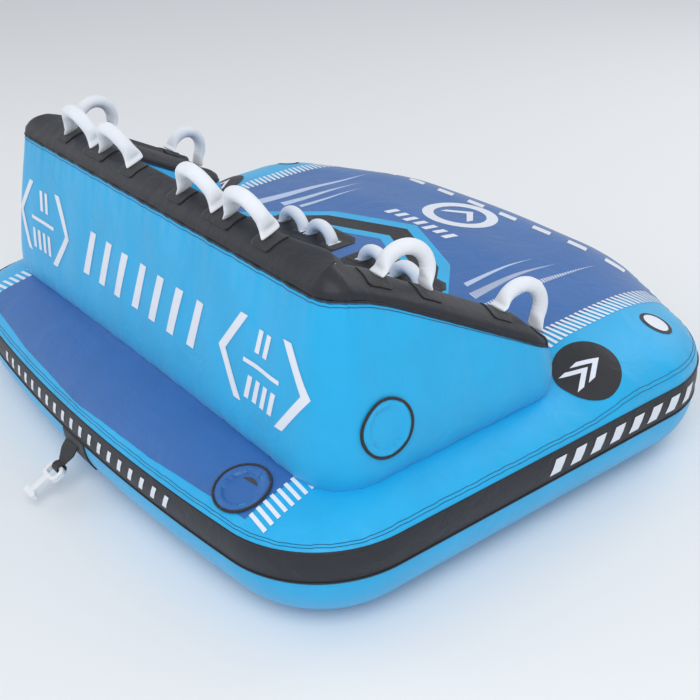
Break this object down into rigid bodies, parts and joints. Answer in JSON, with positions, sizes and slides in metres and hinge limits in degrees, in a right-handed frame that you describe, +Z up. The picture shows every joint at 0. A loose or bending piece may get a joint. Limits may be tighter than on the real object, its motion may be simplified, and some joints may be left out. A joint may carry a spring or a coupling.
{
  "type": "towable tube",
  "caption": "Inflatable towable water tube with a wraparound backrest, grab handles, valve flaps and a quick tow connector at each end.",
  "frame": {"origin": "centre of the bounding box, on the flat bottom of the base", "axes": "+X to the tube's left side, which is the near side in the picture; +Y from the backrest to the open front; +Z up"},
  "size_m": [1.8416, 1.8706, 0.8374],
  "materials": {
    "band_black": "satin coated nylon",
    "bladder_film": "translucent grey PVC film",
    "connector_white": "moulded",
    "cover_blue": "satin coated nylon",
    "grip_white": "woven neoprene",
    "neoprene_black": "matte neoprene",
    "valve_plastic": "moulded",
    "webbing_black": "flat woven webbing"
  },
  "bodies": {
    "root": {"deck_top_cover": "cover_blue", "side_band": "band_black", "bottom_cover": "cover_blue", "deck_bladder": "bladder_film", "backrest_cover": "cover_blue", "backrest_top_cover": "band_black", "backrest_bladder": "bladder_film", "deck_valve_body": "valve_plastic", "backrest_valve_body": "valve_plastic", "backrest_handle_bases": "neoprene_black", "deck_handle_bases": "neoprene_black", "deck_handle_patches": "neoprene_black", "rear_tow_anchor": "webbing_black", "front_tow_anchor": "webbing_black"},
    "deck_valve_cap": {"deck_valve_cap": "valve_plastic"},
    "deck_valve_flap": {"deck_valve_flap": "cover_blue", "deck_valve_flap_binding": "webbing_black"},
    "backrest_valve_cap": {"backrest_valve_cap": "valve_plastic"},
    "backrest_valve_flap": {"backrest_valve_flap": "cover_blue", "backrest_valve_flap_binding": "webbing_black"},
    "rear_outer_handle_right": {"rear_outer_handle_right_grip": "grip_white", "rear_outer_handle_right_strap": "webbing_black"},
    "rear_outer_handle_left": {"rear_outer_handle_left_grip": "grip_white", "rear_outer_handle_left_strap": "webbing_black"},
    "rear_inner_handle_right": {"rear_inner_handle_right_grip": "grip_white", "rear_inner_handle_right_strap": "webbing_black"},
    "rear_inner_handle_left": {"rear_inner_handle_left_grip": "grip_white", "rear_inner_handle_left_strap": "webbing_black"},
    "wing_rear_handle_right": {"wing_rear_handle_right_grip": "grip_white", "wing_rear_handle_right_strap": "webbing_black"},
    "wing_rear_handle_left": {"wing_rear_handle_left_grip": "grip_white", "wing_rear_handle_left_strap": "webbing_black"},
    "wing_front_handle_right": {"wing_front_handle_right_grip": "grip_white", "wing_front_handle_right_strap": "webbing_black"},
    "wing_front_handle_left": {"wing_front_handle_left_grip": "grip_white", "wing_front_handle_left_strap": "webbing_black"},
    "deck_inner_handle_right": {"deck_inner_handle_right_grip": "grip_white", "deck_inner_handle_right_strap": "webbing_black"},
    "deck_inner_handle_left": {"deck_inner_handle_left_grip": "grip_white", "deck_inner_handle_left_strap": "webbing_black"},
    "deck_outer_handle_right": {"deck_outer_handle_right_grip": "grip_white", "deck_outer_handle_right_strap": "webbing_black"},
    "deck_outer_handle_left": {"deck_outer_handle_left_grip": "grip_white", "deck_outer_handle_left_strap": "webbing_black"},
    "rear_tow_strap": {"rear_tow_strap": "webbing_black"},
    "rear_quick_connector": {"rear_quick_connector": "connector_white"},
    "front_tow_strap": {"front_tow_strap": "webbing_black"},
    "front_quick_connector": {"front_quick_connector": "connector_white"}
  },
  "joints": [
    {"name": "deck_valve_cap_turn", "type": "hinge", "parent": "root", "child": "deck_valve_cap", "pos_m": [0.58767, -0.66528, 0.26018], "axis": [0.0417, -0.3395, 0.9397], "range_deg": [0, 90]},
    {"name": "deck_valve_flap_hinge", "type": "hinge", "parent": "root", "child": "deck_valve_flap", "pos_m": [0.5807, -0.60858, 0.29151], "axis": [-0.9925, -0.122, 0], "range_deg": [0, 110], "stiffness_Nm_per_rad": 0.15},
    {"name": "backrest_valve_cap_turn", "type": "hinge", "parent": "root", "child": "backrest_valve_cap", "pos_m": [0.76789, -0.42683, 0.40938], "axis": [0.9791, -0.0212, 0.2023], "range_deg": [0, 90]},
    {"name": "backrest_valve_flap_hinge", "type": "hinge", "parent": "root", "child": "backrest_valve_flap", "pos_m": [0.76456, -0.42676, 0.47445], "axis": [-0.0217, -0.9998, 0], "range_deg": [0, 110], "stiffness_Nm_per_rad": 0.15},
    {"name": "rear_outer_handle_right_fold", "type": "hinge", "parent": "root", "child": "rear_outer_handle_right", "pos_m": [0.385, -0.462, 0.764], "axis": [1, 0, 0], "range_deg": [-85, 42], "stiffness_Nm_per_rad": 0.6},
    {"name": "rear_outer_handle_left_fold", "type": "hinge", "parent": "root", "child": "rear_outer_handle_left", "pos_m": [-0.385, -0.462, 0.764], "axis": [1, 0, 0], "range_deg": [-85, 42], "stiffness_Nm_per_rad": 0.6},
    {"name": "rear_inner_handle_right_fold", "type": "hinge", "parent": "root", "child": "rear_inner_handle_right", "pos_m": [0.19, -0.462, 0.764], "axis": [1, 0, 0], "range_deg": [-85, 42], "stiffness_Nm_per_rad": 0.6},
    {"name": "rear_inner_handle_left_fold", "type": "hinge", "parent": "root", "child": "rear_inner_handle_left", "pos_m": [-0.19, -0.462, 0.764], "axis": [1, 0, 0], "range_deg": [-85, 42], "stiffness_Nm_per_rad": 0.6},
    {"name": "wing_rear_handle_right_fold", "type": "hinge", "parent": "root", "child": "wing_rear_handle_right", "pos_m": [0.682, -0.29306, 0.67831], "axis": [0.1305, 0.8612, -0.4912], "range_deg": [-65, 65], "stiffness_Nm_per_rad": 0.6},
    {"name": "wing_rear_handle_left_fold", "type": "hinge", "parent": "root", "child": "wing_rear_handle_left", "pos_m": [-0.682, -0.29306, 0.67831], "axis": [0.1305, -0.8612, 0.4912], "range_deg": [-65, 65], "stiffness_Nm_per_rad": 0.6},
    {"name": "wing_front_handle_right_fold", "type": "hinge", "parent": "root", "child": "wing_front_handle_right", "pos_m": [0.725, 0.01494, 0.50263], "axis": [0.1305, 0.8612, -0.4912], "range_deg": [-65, 65], "stiffness_Nm_per_rad": 0.6},
    {"name": "wing_front_handle_left_fold", "type": "hinge", "parent": "root", "child": "wing_front_handle_left", "pos_m": [-0.725, 0.01494, 0.50263], "axis": [0.1305, -0.8612, 0.4912], "range_deg": [-65, 65], "stiffness_Nm_per_rad": 0.6},
    {"name": "deck_inner_handle_right_fold", "type": "hinge", "parent": "root", "child": "deck_inner_handle_right", "pos_m": [0.12, 0.093, 0.3655], "axis": [1, 0, 0], "range_deg": [-65, 65], "stiffness_Nm_per_rad": 0.6},
    {"name": "deck_inner_handle_left_fold", "type": "hinge", "parent": "root", "child": "deck_inner_handle_left", "pos_m": [-0.12, 0.093, 0.3655], "axis": [1, 0, 0], "range_deg": [-65, 65], "stiffness_Nm_per_rad": 0.6},
    {"name": "deck_outer_handle_right_fold", "type": "hinge", "parent": "root", "child": "deck_outer_handle_right", "pos_m": [0.255, 0.093, 0.3655], "axis": [1, 0, 0], "range_deg": [-65, 65], "stiffness_Nm_per_rad": 0.6},
    {"name": "deck_outer_handle_left_fold", "type": "hinge", "parent": "root", "child": "deck_outer_handle_left", "pos_m": [-0.255, 0.093, 0.3655], "axis": [1, 0, 0], "range_deg": [-65, 65], "stiffness_Nm_per_rad": 0.6},
    {"name": "rear_tow_strap_fold", "type": "hinge", "parent": "root", "child": "rear_tow_strap", "pos_m": [0, -0.7965, 0.138], "axis": [-1, 0, 0], "range_deg": [-8, 70], "stiffness_Nm_per_rad": 1.2},
    {"name": "rear_quick_connector_swing", "type": "hinge", "parent": "rear_tow_strap", "child": "rear_quick_connector", "pos_m": [0, -0.84252, 0.08315], "axis": [-1, 0, 0], "range_deg": [-25, 60], "stiffness_Nm_per_rad": 0.4},
    {"name": "front_tow_strap_fold", "type": "hinge", "parent": "root", "child": "front_tow_strap", "pos_m": [0, 0.7965, 0.138], "axis": [1, 0, 0], "range_deg": [-8, 70], "stiffness_Nm_per_rad": 1.2},
    {"name": "front_quick_connector_swing", "type": "hinge", "parent": "front_tow_strap", "child": "front_quick_connector", "pos_m": [0, 0.84252, 0.08315], "axis": [1, 0, 0], "range_deg": [-25, 60], "stiffness_Nm_per_rad": 0.4}
  ]
}
